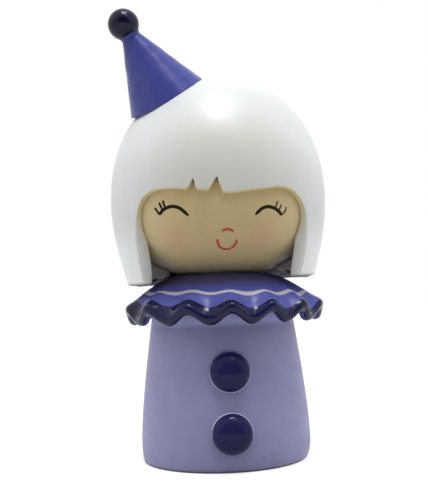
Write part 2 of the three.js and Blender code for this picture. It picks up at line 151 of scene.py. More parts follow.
RIGHT_EDGE = [
    (-1.8, -0.1), (4, -0.2), (11, 0.2), (19, 0.5), (26, 0.9), (31.4, 0.8), (36.6, 0.1), (41, -1.2),
    (44.4, -2.9), (46.6, -5.3), (47.6, -8.7), (47.9, -12.2), (47.2, -15.3),
]
HAIR_NICKS = [(40.5, 14.2), (43.6, 14)]
NICK_WIDTH = 0.35
NICK_SQUEEZE = (1, 1, 0.3)
NICK_STRENGTH = 0.4
HAIR_STREAK = (1, 1, 0.35)
# Painted shade: darker and warmer over the front of the hair
HAIR_FRONT_SHADE_SHARE = 0.6
# Painted shade: greyer on the crown
CROWN_SHADE_RISES = (10, 20)
# Painted light: the lower locks are paler
LOCK_LIGHT_RISES = (-11, -3)
LOCK_LIGHT_STRENGTH = 0.8
# Painted shade in the hollow behind the locks, darkest on the edge of the hair
HOLLOW_RADII = (17.7, 18.4)
HOLLOW_BACK = (-11, -9)
HOLLOW_DROP = 6
UNDERSIDE_SHADE_RADII = (13, 14.5)
# Skin paint spilled round the forehead, with painted light reflected from the face
SPILL_AND_REFLECTION_RISES = (-8.7, -0.7)
SPILL_AND_REFLECTION_SHARES = (0.05, 1)
SLIT_RISES = (1.1, 1.9)
SLIT_SHARES = (1, 0.2)
HEM_SHADE_RISES = (0.15, 0.7)
HEM_SHADE_STRENGTH = 0.8
HAIR_COLUMNS = 560

# Hat and bead
HAT_LEAN_SIDE = 29.7
HAT_LEAN_FRONT = 15
HAT_PIVOT_RISE = 4
HAT_RADIUS = 8.45
HAT_TOP_RADIUS = 2
HAT_HEIGHT = 14.3
HAT_FILLET_RADIUS = 2.2
HAT_EDGE_WOBBLE = 0.08
HAT_EDGE_WAVES = [(1, 5, 0), (0.6, 11, 1)]
HAT_TIP_RINGS = [(0.03, 0.25), (0.12, 0.53)]
HAT_RIM_LIFT = 0.75
HAT_LIFT_START = 0.35
BEAD_RADIUS = 3.15
BEAD_CUP_LAND = 0.25
BEAD_DENT = 0.02
HAT_DENT = 0.09
DENT_WAVES = (1.3, 1.1, 1.2)
DENT_SHIFTS = (1, 0, 2)

# Buttons: domes on stems, each with a thin painted lip round its foot
BUTTON_HEIGHTS = {"button_upper": 18.7, "button_lower": 7.3}
BUTTON_RADIUS = 3.8
BUTTON_DOME = 2.5
BUTTON_SQUARENESS = 2.1
BUTTON_RIM = 0.3
BUTTON_LIP = 0.16
# Painted highlight: the button lips are pale where the two buttons face each other
LIP_HIGHLIGHT_FADE = 2
LIP_HIGHLIGHT_STRENGTH = 0.9
BUTTON_RECESS = 0.9
BUTTON_STEM_RADIUS = 1.2
BUTTON_STEM_LENGTH = 3.2

# Pegs, pins and the folded card
NECK_PEG_SIDE = 4
NECK_PEG_IN_BODY = 8
NECK_PEG_IN_HEAD = 9
HAT_PIN_RADIUS = 0.8
HAT_PIN_SHARES = (-0.62, 0.47)
BEAD_PIN_RADIUS = 0.5
BEAD_PIN_IN_HAT = 4.3
BEAD_PIN_PAST_MIDDLE = 0.2
CARD_WIDTH = 17.4
CARD_HEIGHT = 22
CARD_LEAVES = 6
PAPER_THICKNESS = 0.4
LEAF_GAP = 0.36
CARD_RECESS = 0.8
CARD_GAP = 0.3
THUMB_RADIUS = 5
THUMB_CENTRE_DROP = 1.5

# Painted face: strokes as turns and as heights above the middle of the head, with half the brush width
EYE_BRUSH = 0.33
LEFT_LASH_BRUSH = 0.24
RIGHT_LASH_BRUSH = 0.16
NOSE_BRUSH = 0.27
MOUTH_BRUSH = 0.26
PAINT_HEIGHT = 0.07
PAINT_SINK = 0.1
PAINT_FOOT_SHARE = 0.8
BRUSH_TIP = 0.3
BRUSH_TAPER = 8
STROKES = {
    "eye_left": [
        (
            EYE_BRUSH,
            [(-36.4, -3.3), (-34.2, -2.6), (-31, -2.1), (-27.5, -2), (-23.7, -2.5), (-19.6, -3.9)],
        ),
        (LEFT_LASH_BRUSH, [(-38.7, -1.9), (-36.3, -3.3)]),
        (LEFT_LASH_BRUSH, [(-35.8, -1), (-34.1, -2.4)]),
        (LEFT_LASH_BRUSH, [(-33.4, -0.7), (-32.4, -2)]),
    ],
    "eye_right": [
        (EYE_BRUSH, [(15.6, -4.1), (19, -3), (22.8, -2.6), (26.6, -2.9), (29.3, -3.4), (31.6, -4.1)]),
        (RIGHT_LASH_BRUSH, [(28.2, -1.5), (27.2, -2.7)]),
        (RIGHT_LASH_BRUSH, [(30.7, -2.1), (29.6, -3.2)]),
        (RIGHT_LASH_BRUSH, [(34, -2.5), (33.9, -3.2), (31.6, -4.1)]),
    ],
    "nose_line": [(NOSE_BRUSH, [(-2.4, -6.9), (0.9, -6.6), (4.2, -7)])],
    "mouth_line": [
        (
            MOUTH_BRUSH,
            [
                (-5.2, -8.3), (-4.9, -9.1), (-3.5, -9.8), (0.4, -10.2), (4.2, -9.9), (6.1, -9.2),
                (6.6, -8.5),
            ],
        ),
    ],
}
CHEEKS = [(-30.5, -8.1), (21.6, -8)]
CHEEK_RADIUS = 5.2
CHEEK_STRENGTH = 0.38
TEMPLE_WIDTHS = (7, 15)
TEMPLE_STRENGTH = 0.7
# Painted reflected light: paler purple-grey patches on the corners of the jaw, where the hair and the
# collar shade it
JAW_LIGHT_PATCHES = [(-62, -12.1, (226, 210, 196)), (63, -12.4, (250, 240, 242))]
JAW_LIGHT_RADIUS = 4.5
JAW_LIGHT_STRENGTH = 0.8
CHIN_SHADE_RISES = (-13.7, -11.9)
CHIN_SHADE_STRENGTH = 0.4
SLIT_SHADE_RADIUS = 1.6
SLIT_SHADE_STRENGTH = 0.8

# Facets
ROUND_SIDES = 160
SMALL_SIDES = 64
CURVE_STEPS = 20
STROKE_STEPS = 10
STROKE_SIDES = 7
LIP_STEPS = 6
COLLAR_UNDER_ROWS = 12
COLLAR_HEM_ROWS = 17
COLLAR_TOP_ROWS = (5, 12, 4, 16)
HAIR_LIP_ROWS = 13
HAIR_ROW_CROWDING = 1.15
HAIR_EDGE_EASING = 2
HAT_SEAT_ROWS = 12
HAT_WALL_ROWS = 32
HAT_CUP_ROWS = 7
FOLD_STEPS = 9
HALVINGS = 40
SLOPE_STEP = 0.05
MERGE_DISTANCE = 1e-6
SHARP_ANGLE = 42
CUT_PAST = 2

# Paint: how fine its clouds, its brush marks and its gloss are, in waves to the metre
CLOUD_SCALE = 150
BRUSH_SCALE = 900
BRUSH_DETAIL = 4
GLOSS_SCALE = 420
NOISE_SPAN = (0.3, 0.7)
GLOSS_SPREAD = (-0.05, 0.06)
RELIEF_DEPTH = 0.05
WOOD_STREAK = (3, 3, 0.3)
STEEL_STREAK = (2, 2, 0.2)

# Stage and light: each lamp has a place, a width, a depth and a power in watts
FLOOR_HALF_SIZE = 3000
FLOOR_DROP = 0.05
FLOOR_LIFT = 0.66
FLOOR_ROUGHNESS = 0.9
FLOOR_CLOUD_SCALE = 8
WHITE_LEVEL = 1.0
FRONT_LEVEL = 0.06
TENT_SIDE = (-0.85, -0.55)
TENT_TOP = (0.5, 0.9)
LAMPS = {
    "top_lamp": ((15, -70, 420), 160, 160, 0.46),
    "front_lamp": ((5, -130, 420), 110, 55, 0.4),
    "side_lamp": ((85, -190, 361), 50, 110, 0.07),
}


def box_of(node):
    """Lowest and highest corner of a solid, in millimetres."""
    low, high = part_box(node)
    return np.array(low) / MM, np.array(high) / MM


# Levels and sizes that the solids give
neck_top = box_of("body_casting")[1][2]
belly_radius = box_of("body_casting")[1][0]
shoulder_level = neck_top - SHOULDER_DROP
ridge_level = box_of("collar_ruff")[1][2]
head_seat = box_of("head_ball")[0][2]
head_radius = box_of("head_ball")[1][0]
hair_hem = box_of("hair_cap")[0][2]
hair_radius, hair_top = box_of("hair_cap")[1][[0, 2]]
head_middle = box_of("head_ball")[1][2] - HEAD_ABOVE
hair_middle = head_middle + HAIR_RISE
hair_hem_radius = hair_radius - HAIR_HEM_INSET
collar_hole_radius = NECK_RADIUS + GLUE_GAP
ridge_radius = collar_hole_radius + COLLAR_LIP
bead_cup_radius = HAT_TOP_RADIUS - BEAD_CUP_LAND
bead_level = HAT_HEIGHT + math.sqrt((BEAD_RADIUS + GLUE_GAP) ** 2 - bead_cup_radius**2)


# Curves and meshes


def superellipse(radius, height, squareness, steps=CURVE_STEPS, start=0.0, stop=1.0):
    """Points of a quarter superellipse, from its side to its top."""
    angle = np.linspace(start, stop, steps + 1) * math.pi / 2
    across = radius * np.clip(np.cos(angle), 0, 1) ** (2 / squareness)
    up = height * np.clip(np.sin(angle), 0, 1) ** (2 / squareness)
    return np.column_stack([across, up])


def bezier(points, steps=CURVE_STEPS):
    t = np.linspace(0, 1, steps + 1)[:, None]
    layer = [np.array(p, float) for p in points]
    while len(layer) > 1:
        layer = [a * (1 - t) + b * t for a, b in zip(layer, layer[1:])]
    return layer[0]


def through(points, steps):
    """A smooth curve through all the points."""
    p = np.array(points, float)
    p = np.vstack([2 * p[0] - p[1], p, 2 * p[-1] - p[-2]])
    t = np.linspace(0, 1, steps, endpoint=False)[:, None]
    spans = [
        b + t * (c - a) / 2 + t**2 * (a - 2.5 * b + 2 * c - d / 2) + t**3 * (1.5 * (b - c) + (d - a) / 2)
        for a, b, c, d in zip(p, p[1:], p[2:], p[3:])
    ]
    return np.vstack([*spans, p[-2:-1]])


def waves(turn, terms):
    """A sum of sine waves round a turn, each given by its height, its count and its shift."""
    return sum(height * np.sin(count * turn + shift) for height, count, shift in terms)


def unit(vectors):
    return vectors / np.linalg.norm(vectors, axis=-1, keepdims=True)


def smoothstep(x):
    x = np.clip(x, 0, 1)
    return x * x * (3 - 2 * x)


def around_axis(radius, turn, height):
    """Points at a radius and a turn, in radians, round the Z axis."""
    return np.stack([radius * np.sin(turn), -radius * np.cos(turn), height + 0 * turn], axis=-1)


def spun(outline, sides=ROUND_SIDES):
    turn = np.linspace(0, 2 * math.pi, sides, endpoint=False)
    outline = np.array(outline, float)
    return around_axis(outline[:, :1], turn, outline[:, 1:])


def placed(name, data):
    """A new object in the scene."""
    piece = bpy.data.objects.new(name, data)
    bpy.context.scene.collection.objects.link(piece)
    return piece


def mesh_object(name, rows, closed=False, bands=None):
    """A mesh from rows of points, each a ring. Rings that shrink to a point close the ends."""
    count, around = rows.shape[:2]
    index = np.arange(count * around).reshape(count, around)
    lower = index if closed else index[:-1]
    upper = np.roll(index, -1, axis=0) if closed else index[1:]
    faces = np.stack([lower, np.roll(lower, -1, axis=1), np.roll(upper, -1, axis=1), upper], axis=-1)
    mesh = bpy.data.meshes.new(name)
    mesh.from_pydata((rows.reshape(-1, 3) * MM).tolist(), [], faces.reshape(-1, 4).tolist())
    if bands is not None:
        mesh.polygons.foreach_set("material_index", np.repeat(bands, around))
    work = bmesh.new()
    work.from_mesh(mesh)
    bmesh.ops.remove_doubles(work, verts=work.verts, dist=MERGE_DISTANCE)
    bmesh.ops.recalc_face_normals(work, faces=work.faces)
    work.to_mesh(mesh)
    work.free()
    return placed(name, mesh)


def capped(rings, centres):
    """Rings with each end closed by a point."""
    first, last = (np.repeat(centres[i][None, None], rings.shape[1], axis=1) for i in (0, -1))
    return np.concatenate([first, rings, last])


def rod(radius, low, high):
    return mesh_object("tool", spun([(0, low), (radius, low), (radius, high), (0, high)], SMALL_SIDES))


def block(x, y, low, high):
    corner = np.array([(1, 1), (-1, 1), (-1, -1), (1, -1)]) * (x / 2, y / 2)
    rows = ((0, low), (1, low), (1, high), (0, high))
    rings = [np.column_stack([corner * share, np.full(4, z)]) for share, z in rows]
    return mesh_object("tool", np.array(rings))


def ball_rows(radius):
    arch = superellipse(radius, radius, 2)
    return spun(np.vstack([arch[::-1] * (1, -1), arch[1:]]), SMALL_SIDES)


def ball(radius, height):
    return mesh_object("tool", ball_rows(radius) + (0, 0, height))


def carve(piece, *tools):
    """Cuts the tools out of a piece, and removes them."""
    for tool in tools:
        cut = piece.modifiers.new("cut", "BOOLEAN")
        cut.operation = "DIFFERENCE"
        cut.solver = "EXACT"
        cut.object = tool
    bpy.context.view_layer.update()
    graph = bpy.context.evaluated_depsgraph_get()
    carved = bpy.data.meshes.new_from_object(piece.evaluated_get(graph))
    piece.modifiers.clear()
    piece.data = carved
    for tool in tools:
        bpy.data.objects.remove(tool)
    return piece


def moved(piece, matrix):
    piece.data.transform(matrix)
    return piece


def dress(piece, materials, node=None, body="doll"):
    """Gives a piece its materials and smooth faces, and its place in the doll."""
    for material in materials:
        piece.data.materials.append(material)
    piece.data.polygons.foreach_set("use_smooth", [True] * len(piece.data.polygons))
    piece.data.set_sharp_from_angle(angle=math.radians(SHARP_ANGLE))
    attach(piece, body)
    if node:
        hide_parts(node)
    return piece


# Collar, with the order of its paints

BLUE_BAND, HEM_BAND, LINE_BAND = 0, 1, 2


def collar_curve(share):
    """Point of the collar's top curve at a share of its length, and the direction square to it."""
    ridge = np.array([ridge_radius, ridge_level])
    hem = np.array([COLLAR_RADIUS, ridge_level - COLLAR_FALL])
    knee = (ridge + hem) / 2 + (COLLAR_CROWN / 2, COLLAR_CROWN)
    t = np.asarray(share, float)[..., None]
    place = (1 - t) ** 2 * ridge + 2 * t * (1 - t) * knee + t**2 * hem
    along = unit((1 - t) * (knee - ridge) + t * (hem - knee))
    return place, np.stack([-along[..., 1], along[..., 0]], axis=-1)


def collar_point(share, lift):
    place, upward = collar_curve(share)
    return place + upward * np.asarray(lift, float)[..., None]


def ruffle_reach(share):
    return RUFFLE_HEIGHT * np.clip((share - RUFFLE_START) / (1 - RUFFLE_START), 0, None) ** RUFFLE_GROWTH


def ruffle_wave(turn):
    phase = RUFFLE_COUNT * (turn + np.radians(RUFFLE_DRIFT * np.sin(turn) ** 2 - RUFFLE_TURN))
    return np.cos(phase) + RUFFLE_FLATNESS * np.cos(2 * phase)


def collar_borders(turn):
    """Shares at which the collar's paint changes, from its hem to its ridge."""
    wander = waves(turn, PAINT_WANDER)
    hem = HEM_PAINT_SHARE + HEM_PAINT_DRIFT * np.sin(turn) + HEM_WANDER * wander
    line = LINE_SHARE + LINE_DRIFT * np.sin(turn) + LINE_WANDER * wander
    half = LINE_HALF_SHARE * (1 + waves(turn, LINE_WIDTH_WANDER))
    return [np.ones_like(turn), hem, line + half, line - half, np.zeros_like(turn)]


def collar_under(turn):
    """Rings of the underside, from the neck to the hem. Each has its share, its place and its paint."""
    none, depth = 0 * turn, 0 * turn - COLLAR_THICKNESS
    yield none, np.column_stack([none + collar_hole_radius, collar_point(none, depth)[:, 1]]), BLUE_BAND
    for share in np.linspace(0, 1, COLLAR_UNDER_ROWS, endpoint=False)[1:]:
        yield none + share, collar_point(none + share, depth), BLUE_BAND


def collar_hem(turn):
    """Rings round the rolled hem."""
    ones = np.ones_like(turn)
    middle = collar_point(ones, -COLLAR_THICKNESS / 2 * ones)
    upward = collar_curve(ones)[1]
    outward = np.stack([upward[:, 1], -upward[:, 0]], axis=-1)
    for angle in np.linspace(-math.pi / 2, math.pi / 2, COLLAR_HEM_ROWS):
        arm = outward * math.cos(angle) + upward * math.sin(angle)
        dark = angle > math.radians(HEM_PAINT_ANGLE)
        yield ones, middle + arm * HEM_THICKNESS / 2, HEM_BAND if dark else BLUE_BAND


def collar_top(turn):
    """Rings of the top, from the hem to the neck."""
    borders = collar_borders(turn)
    paints = (HEM_BAND, BLUE_BAND, LINE_BAND, BLUE_BAND)
    for near, far, count, band in zip(borders, borders[1:], COLLAR_TOP_ROWS, paints):
        for step in np.linspace(0, 1, count, endpoint=False):
            share = near + (far - near) * step
            swell = smoothstep((share - HEM_SWELL_START) / (1 - HEM_SWELL_START))
            lift = swell * (HEM_THICKNESS - COLLAR_THICKNESS) / 2
            if band == LINE_BAND:
                lift = lift + LINE_RELIEF * math.sin(math.pi * step)
            yield share, collar_point(share, lift), band
    none = 0 * turn
    yield none, collar_point(none, none), BLUE_BAND
    inner = collar_point(none, none - COLLAR_THICKNESS / 2)
    yield none, np.column_stack([none + collar_hole_radius, inner[:, 1]]), BLUE_BAND


def collar_ruff():
    """The section runs out along the underside, round the hem and back on top, moved by the ruffles."""
    turn = np.linspace(0, 2 * math.pi, RUFFLE_COUNT * RUFFLE_STEPS, endpoint=False)
    wave = ruffle_wave(turn)
    lean = math.radians(RUFFLE_LEAN)
    rise = np.array([math.sin(lean), math.cos(lean)])
    rows, bands = [], []
    for share, place, band in (*collar_under(turn), *collar_hem(turn), *collar_top(turn)):
        r, z = np.moveaxis(place + rise * (ruffle_reach(share) * wave)[:, None], -1, 0)
        rows.append(around_axis(r + COLLAR_SWAY * share * np.sin(turn), turn, z))
        bands.append(band)
    return mesh_object("collar_ruff_cast", np.array(rows), closed=True, bands=bands)


# Body and buttons


def body_wall(foot_round=FOOT_ROUND_WIDTH):
    foot = superellipse(foot_round, FOOT_ROUND_HEIGHT, 2)[::-1] * (1, -1)
    foot = foot + (belly_radius - foot_round, FOOT_ROUND_HEIGHT)
    rise = shoulder_level - FOOT_ROUND_HEIGHT
    wall = bezier([
        (belly_radius, FOOT_ROUND_HEIGHT),
        (belly_radius, FOOT_ROUND_HEIGHT + rise * BELL_LOW_PULL),
        ((belly_radius + SHOULDER_RADIUS) / 2, FOOT_ROUND_HEIGHT + rise * BELL_HIGH_PULL),
        (SHOULDER_RADIUS, shoulder_level),
    ])
    return np.vstack([foot, wall[1:]])


def body_outline(foot_round):
    depth = -COLLAR_THICKNESS - GLUE_GAP
    seat_edge = collar_point(RUFFLE_START, depth)
    seat_inner = collar_point(0, depth)
    slope = bezier([
        (SHOULDER_RADIUS, shoulder_level),
        (SHOULDER_RADIUS, (shoulder_level + seat_edge[1]) / 2),
        seat_edge,
    ])
    top = [(NECK_RADIUS, seat_inner[1]), (NECK_RADIUS, neck_top), (0, neck_top)]
    return np.vstack([[(0, 0)], body_wall(foot_round), slope[1:], top])


def wall_radius(height):
    wall = body_wall()
    return np.interp(height, wall[:, 1], wall[:, 0])


def button_place(height):
    """The button's own frame: its +Z stands square to the wall."""
    slope = wall_radius(height + BUTTON_RADIUS) - wall_radius(height - BUTTON_RADIUS)
    outward = Vector((0, -2 * BUTTON_RADIUS, -slope)).normalized()
    turn = Vector((0, 0, 1)).rotation_difference(outward).to_matrix().to_4x4()
    return Matrix.Translation(Vector((0, -wall_radius(height), height)) * MM) @ turn


def button_cast(name, height):
    back = GLUE_GAP - BUTTON_RECESS
    lip = BUTTON_RADIUS + BUTTON_LIP
    dome = superellipse(BUTTON_RADIUS, BUTTON_DOME - BUTTON_RIM, BUTTON_SQUARENESS) + (0, BUTTON_RIM)
    round_lip = superellipse(BUTTON_LIP, BUTTON_LIP, 2, LIP_STEPS) + (BUTTON_RADIUS, 0)
    outline = np.vstack([
        [(0, back - BUTTON_STEM_LENGTH), (BUTTON_STEM_RADIUS, back - BUTTON_STEM_LENGTH)],
        [(BUTTON_STEM_RADIUS, back), (lip, back)],
        round_lip,
        dome,
    ])
    bands = [1] * (len(outline) - 1)
    painted = len(dome)
    bands[-painted:] = [0] * painted
    return moved(mesh_object(name, spun(outline, SMALL_SIDES * 2), bands=bands), button_place(height))


def neck_peg_bore():
    side = NECK_PEG_SIDE + 2 * GLUE_GAP
    low = neck_top - NECK_PEG_IN_BODY - GLUE_GAP
    high = neck_top + NECK_PEG_IN_HEAD + GLUE_GAP
    return block(side, side, low, high)


def body_casting():
    turn = np.linspace(0, 2 * math.pi, ROUND_SIDES, endpoint=False)
    aside = (1 - np.sin(turn[:, None])) / 2
    rounded, sharp = (spun(body_outline(width)) for width in (FOOT_ROUND_WIDTH, FOOT_SHARP_WIDTH))
    piece = mesh_object("body_cast", rounded * (1 - aside) + sharp * aside)
    card_depth = CARD_LEAVES * PAPER_THICKNESS + (CARD_LEAVES - 1) * LEAF_GAP
    slot_top = CARD_RECESS + CARD_HEIGHT + CARD_GAP
    tools = [
        block(CARD_WIDTH + 2 * CARD_GAP, card_depth + 2 * CARD_GAP, -CUT_PAST, slot_top),
        ball(THUMB_RADIUS, -THUMB_CENTRE_DROP),
        neck_peg_bore(),
    ]
    seat_radius = BUTTON_RADIUS + BUTTON_LIP + SEAM
    deep = BUTTON_RECESS + BUTTON_STEM_LENGTH + GLUE_GAP
    for height in BUTTON_HEIGHTS.values():
        place = button_place(height)
        tools.append(moved(rod(seat_radius, -BUTTON_RECESS, BUTTON_DOME + CUT_PAST), place))
        tools.append(moved(rod(BUTTON_STEM_RADIUS + GLUE_GAP, -deep, 0), place))
    return carve(piece, *tools)


# Head and painted face


def head_outline():
    share = (HEAD_SEAT_RADIUS / head_radius) ** (CHIN_SQUARENESS / 2)
    stop = math.acos(share) / (math.pi / 2)
    steps = CURVE_STEPS * 2
    chin = superellipse(head_radius, HEAD_BELOW, CHIN_SQUARENESS, steps, 0, stop)[::-1] * (1, -1)
    crown = superellipse(head_radius, HEAD_ABOVE, CROWN_SQUARENESS, steps)
    return np.vstack([[(0, head_seat)], chin + (0, head_middle), crown[1:] + (0, head_middle)])


def head_ball():
    piece = mesh_object("head_cast", spun(head_outline()))
    return carve(piece, neck_peg_bore(), hat_pin_bore())


def on_head(turn, rise):
    """Points of the head at turns in degrees and heights above its middle, and the ways outward."""
    outline = head_outline()[1:]
    height = head_middle + rise
    levels = (height + step for step in (-SLOPE_STEP, 0, SLOPE_STEP))
    below, radius, above = (np.interp(level, outline[:, 1], outline[:, 0]) for level in levels)
    angle = np.radians(turn)
    slope = (below - above) / (2 * SLOPE_STEP)
    outward = unit(np.stack([np.sin(angle), -np.cos(angle), slope], axis=-1))
    return around_axis(radius, angle, height), outward


def head_point(turn, rise):
    return on_head(np.array([turn]), np.array([rise]))[0][0]


def brush_stroke(name, brush, points):
    """A thin raised bead of paint along a curve on the head."""
    path = through(points, STROKE_STEPS)
    centre, outward = on_head(path[:, 0], path[:, 1])
    side = unit(np.cross(outward, np.gradient(centre, axis=0)))
    ends = np.minimum(np.linspace(0, 1, len(path)), np.linspace(1, 0, len(path)))
    width = (brush * np.sqrt(smoothstep(BRUSH_TIP + ends * BRUSH_TAPER)))[:, None, None]
    angle = np.linspace(0, math.pi, STROKE_SIDES)
    across = np.append(np.cos(angle), [-PAINT_FOOT_SHARE, PAINT_FOOT_SHARE])[None, :, None]
    height = np.append(PAINT_HEIGHT * np.sin(angle), [-PAINT_SINK, -PAINT_SINK])[None, :, None]
    rings = centre[:, None] + side[:, None] * width * across + outward[:, None] * height
    return mesh_object(name, capped(rings, centre))


def face_mark(name, strokes):
    parts = [brush_stroke(name, brush, points) for brush, points in strokes]
    work = bmesh.new()
    for part in parts:
        work.from_mesh(part.data)
    work.to_mesh(parts[0].data)
    work.free()
    for part in parts[1:]:
        bpy.data.objects.remove(part)
    parts[0].name = name
    return parts[0]


# Hair


def hair_outer():
    rise = hair_top - hair_middle
    dome = superellipse(hair_radius, rise, CROWN_SQUARENESS, CURVE_STEPS * 8) + (0, hair_middle)
    knee = hair_hem + (hair_middle - hair_hem) * HAIR_WALL_PULL
    corners = [(hair_radius, hair_middle), (hair_radius, knee), (hair_hem_radius, hair_hem)]
    wall = bezier(corners, CURVE_STEPS * 4)
    return np.vstack([dome[::-1], wall[1:]])


def hair_inner():
    """The hollow keeps its gap to the head. Below, the locks thin out towards their tips."""
    crown = superellipse(head_radius + SEAM, HEAD_ABOVE + SEAM, CROWN_SQUARENESS, CURVE_STEPS * 8)
    outer = hair_outer()[::-1]
    level = np.linspace(head_middle, hair_hem, CURVE_STEPS * 4)[1:]
    short = 1 - np.clip((level - hair_hem) / HAIR_TIP_ROUND, 0, 1)
    thickness = HAIR_TIP_THICKNESS + (HAIR_HEM_THICKNESS - HAIR_TIP_THICKNESS) * np.sqrt(1 - short**2)
    wall = np.interp(level, outer[:, 1], outer[:, 0]) - thickness
    curtain = np.column_stack([np.maximum(below_head(level), wall), level])
    return np.vstack([crown[::-1] + (0, head_middle), curtain])


def below_head(level):
    """Radius that keeps the gap to the lower half of the head."""
    share = np.clip((head_middle - level) / HEAD_BELOW, 0, 1)
    return head_radius * (1 - share**CHIN_SQUARENESS) ** (1 / CHIN_SQUARENESS) + SEAM


def fill_share(turn):
    """How far the hair is solid behind the locks, from 0 at the face to 1 at the back."""
    aside = np.abs((np.degrees(turn) + 180) % 360 - 180)
    low, high = HAIR_FILL_TURNS
    return smoothstep((aside - low) / (high - low))


def hem_level(turn):
    return hair_hem + HAIR_HEM_TILT * (1 + np.sin(np.radians(turn))) / 2


def hair_edge():
    """The hair's free edge: the hem round the back, a lock, the fringe with its slits, a lock."""
    start, stop = RIGHT_EDGE[-1][0], 360 + LEFT_EDGE[0][0]
    back = np.linspace(start, stop, CURVE_STEPS * 4)
    hem = np.column_stack([back, hem_level(back)])
    left = through(LEFT_EDGE, CURVE_STEPS)
    right = through(RIGHT_EDGE, CURVE_STEPS)
    front = np.vstack([left, SLIT_TIPS[:1], SLIT_GAP_EDGE, SLIT_TIPS[1:], right])
    return np.vstack([hem, front + (360, head_middle), hem[:1] + (360, 0)])


def even_loop(loop, count):
    """The loop unrolled to millimetres, at even steps and with its corners eased. The turns that
    spread its points evenly round the crown come with it."""
    flat = loop * (math.radians(1) * hair_radius, 1)
    length = np.append(0, np.cumsum(np.linalg.norm(np.diff(flat, axis=0), axis=1)))
    share = np.arange(count) / count
    x, z = (np.interp(share * length[-1], length, flat[:, i]) for i in (0, 1))
    period = 2 * math.pi * hair_radius
    drift = x - share * period
    for _ in range(HAIR_EDGE_EASING):
        drift = (np.roll(drift, 1) + 2 * drift + np.roll(drift, -1)) / 4
        z = (np.roll(z, 1) + 2 * z + np.roll(z, -1)) / 4
    x = drift + share * period
    back = np.interp(math.pi * hair_radius, x, share)
    spread = math.pi + (share - back) * 2 * math.pi
    return x, z, spread


def edge_set_back(x, z):
    """The free edge, set back by the rounding of its lip."""
    period = 2 * math.pi * hair_radius
    ahead = np.append(x[1:], x[0] + period) - np.append(x[-1] - period, x[:-1])
    rising = np.roll(z, -1) - np.roll(z, 1)
    inward = unit(np.column_stack([-rising, ahead]))
    high, low = HAIR_LOCK_RISES
    lock = smoothstep((head_middle + high - z) / (high - low))
    ease = HAIR_EDGE_ROUND + (HAIR_LOCK_ROUND - HAIR_EDGE_ROUND) * lock
    return x + inward[:, 0] * ease, z + inward[:, 1] * ease


def hair_shell(outline, fill, x, z, spread):
    """Rows of one side of the cap, from its edge to the crown, and the points of its sharp edge."""
    length = np.append(0, np.cumsum(np.linalg.norm(np.diff(outline, axis=0), axis=1)))

    def along(level):
        return np.interp(-level, -outline[:, 1], length)

    def at(angle, reach):
        radius = np.interp(reach, length, outline[:, 0])
        level = np.interp(reach, length, outline[:, 1])
        solid = np.maximum(below_head(level), HAIR_FILL_RADIUS)
        deep = fill * fill_share(angle) * np.clip(radius - solid, 0, None) * (level < head_middle)
        return around_axis(radius - deep, angle, level)

    turn = x / hair_radius
    set_x, set_height = edge_set_back(x, z)
    set_turn = set_x / hair_radius
    rise = fill * HAIR_FILL_RISE * fill_share(turn)
    start = along(set_height + rise)
    shares = np.linspace(0, 1, CURVE_STEPS * 2 + 1) ** HAIR_ROW_CROWDING
    rows = [at(set_turn + (spread - set_turn) * share, start * (1 - share)) for share in shares]
    return np.array(rows), at(turn, along(z + rise))


def hair_lip(outer, inner, edge):
    """Rows that round the lip over from the outer side to the inner one."""
    middle = (outer + inner) / 2
    half = (outer - inner) / 2
    power = 2 / HAIR_EDGE_SQUARENESS
    lip = []
    for angle in np.linspace(0, math.pi, HAIR_LIP_ROWS)[1:-1]:
        across = math.cos(angle)
        across = math.copysign(abs(across) ** power, across)
        lip.append(middle + half * across + (edge - middle) * math.sin(angle) ** power)
    return lip


def hair_cap():
    loop = even_loop(hair_edge(), HAIR_COLUMNS)
    outer, outer_edge = hair_shell(hair_outer(), 0, *loop)
    inner, inner_edge = hair_shell(hair_inner(), 1, *loop)
    lip = hair_lip(outer[0], inner[0], (outer_edge + inner_edge) / 2)
    rows = np.concatenate([outer[::-1], lip, inner])
    bands = [0] * (len(outer) - 1) + [1] * (len(lip) + 1) + [0] * (len(inner) - 1)
    return carve(mesh_object("hair_cast", rows, bands=bands), hat_pin_bore())


# Hat and bead

hat_axis = np.array([*(-math.tan(math.radians(lean)) for lean in (HAT_LEAN_SIDE, HAT_LEAN_FRONT)), 1])
hat_axis = hat_axis / np.linalg.norm(hat_axis)
hat_pivot = np.array([0, 0, head_middle + HAT_PIVOT_RISE])


def inside_hair(points, margin):
    radius = np.linalg.norm(points[..., :2], axis=-1) / (hair_radius + margin)
    height = np.abs(points[..., 2] - hair_middle) / (hair_top - hair_middle + margin)
    return radius**CROWN_SQUARENESS + height**CROWN_SQUARENESS < 1


def way_to_hair(start, direction, far, margin):
    """How far a point outside the hair goes along a direction until it meets the hair."""
    low = np.zeros(start.shape[:-1])
    high = np.full(start.shape[:-1], float(far))
    for _ in range(HALVINGS):
        middle = (low + high) / 2
        inside = inside_hair(start + direction * middle[..., None], margin)
        low, high = np.where(inside, low, middle), np.where(inside, middle, high)
    return low


hat_sink = HAT_RADIUS**2 / (2 * hair_radius)
hat_reach = 2 * hair_top
hat_seat = hat_reach - way_to_hair(hat_pivot + hat_axis * hat_reach, -hat_axis, hat_reach, 0) - hat_sink
hat_turn = Vector((0, 0, 1)).rotation_difference(Vector(hat_axis)).to_matrix()
hat_place = Matrix.Translation(Vector(hat_pivot + hat_axis * hat_seat) * MM) @ hat_turn.to_4x4()


def from_hat(points):
    """Points in the hat's own frame, in the doll's frame."""
    return points @ np.array(hat_turn).T + hat_pivot + hat_axis * hat_seat


def hat_pin_bore():
    low, high = box_of("hat_pin")
    ends = (np.linalg.norm(high - low) * share for share in HAT_PIN_SHARES)
    return moved(rod(HAT_PIN_RADIUS + GLUE_GAP, *ends), hat_place)


